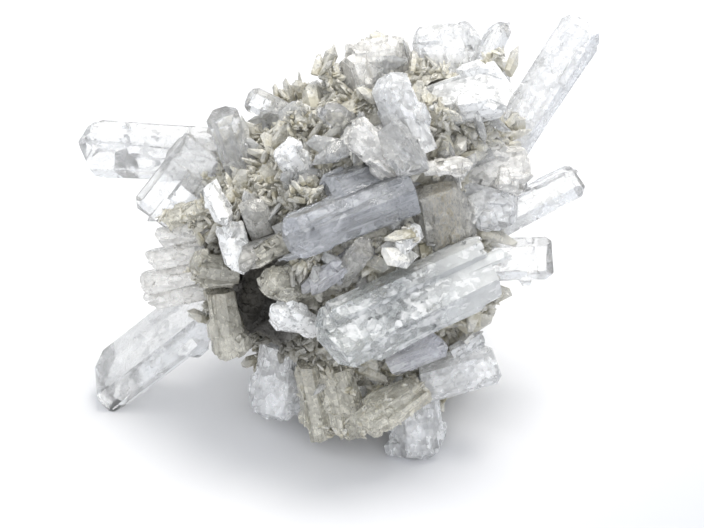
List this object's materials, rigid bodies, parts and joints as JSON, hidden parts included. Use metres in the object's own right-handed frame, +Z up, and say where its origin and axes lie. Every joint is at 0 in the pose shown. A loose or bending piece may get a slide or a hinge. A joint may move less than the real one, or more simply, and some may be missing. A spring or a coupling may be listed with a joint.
{
  "type": "gypsum crystal cluster",
  "caption": "Natural gypsum (selenite) crystal cluster: long translucent blades and blocky prisms radiating from a rough lump crusted with small crystals.",
  "frame": {"origin": "middle of the cluster's box in X and Y, on the surface that it rests on", "axes": "+Z up as it rests, +X towards the cluster's right, -Y towards the side that shows the two large front prisms"},
  "size_m": [0.1528, 0.107, 0.1196],
  "materials": {
    "clear": "clear to slightly milky selenite, glassy",
    "cloudy": "cloudy selenite, glassy to satin",
    "snow": "snow-white, satin",
    "creamy": "cream-tinted cloudy selenite, satin",
    "silvery": "silvery selenite with dark specks and inner veils, glassy",
    "blue": "blue-grey selenite, glassy",
    "violet": "grey-violet selenite, striated",
    "smoky": "grey-brown selenite with earthy inclusions",
    "earthy": "greyish beige selenite, striated and dusty",
    "matrix": "beige-grey crust of small crystals with earthy sediment"
  },
  "bodies": {
    "root": {"matrix": "matrix", "front_prism": "silvery", "centre_prism": "blue", "lower_left_blade": "clear", "upper_left_blade": "clear", "left_wedge": "clear", "upper_right_blade": "clear", "right_blade_upper": "clear", "right_blade_lower": "clear", "white_tip_crystal": "snow", "brown_dome": "smoky", "upper_mid_prism": "cloudy", "top_fan": "cloudy", "top_point": "clear", "top_dome": "creamy", "right_shoulder": "creamy", "shoulder_lower": "cloudy", "shoulder_back": "clear", "glass_wedge": "clear", "beige_block": "creamy", "lens_crystal": "creamy", "left_point": "clear", "top_left_stub": "clear", "left_spray_a": "earthy", "left_spray_b": "clear", "left_spray_c": "clear", "left_spray_d": "clear", "left_spray_e": "clear", "left_block": "earthy", "left_front_blade": "earthy", "white_flake": "snow", "white_block": "snow", "lower_right_blade": "clear", "lower_right_stub": "clear", "striped_crystal": "violet", "bottom_cross": "earthy", "bottom_dome": "cloudy", "bottom_blade_left": "earthy", "bottom_blade_mid": "earthy", "bottom_left_cloudy": "cloudy", "middle_blade_upper": "earthy", "middle_blade_lower": "earthy", "dark_prism": "smoky", "violet_splint": "violet", "white_spray": "snow", "centre_back": "blue", "upper_lath": "clear", "upper_flake": "clear", "cleft_shard": "smoky", "cleft_block": "earthy", "white_druse_crystal": "snow", "left_shard": "smoky", "bright_wedge": "snow", "back_blade_high": "clear", "back_blade_low": "clear", "back_prism": "cloudy", "back_foot": "cloudy", "back_foot_right": "creamy", "back_dome": "creamy", "back_splinter": "clear"}
  },
  "joints": []
}
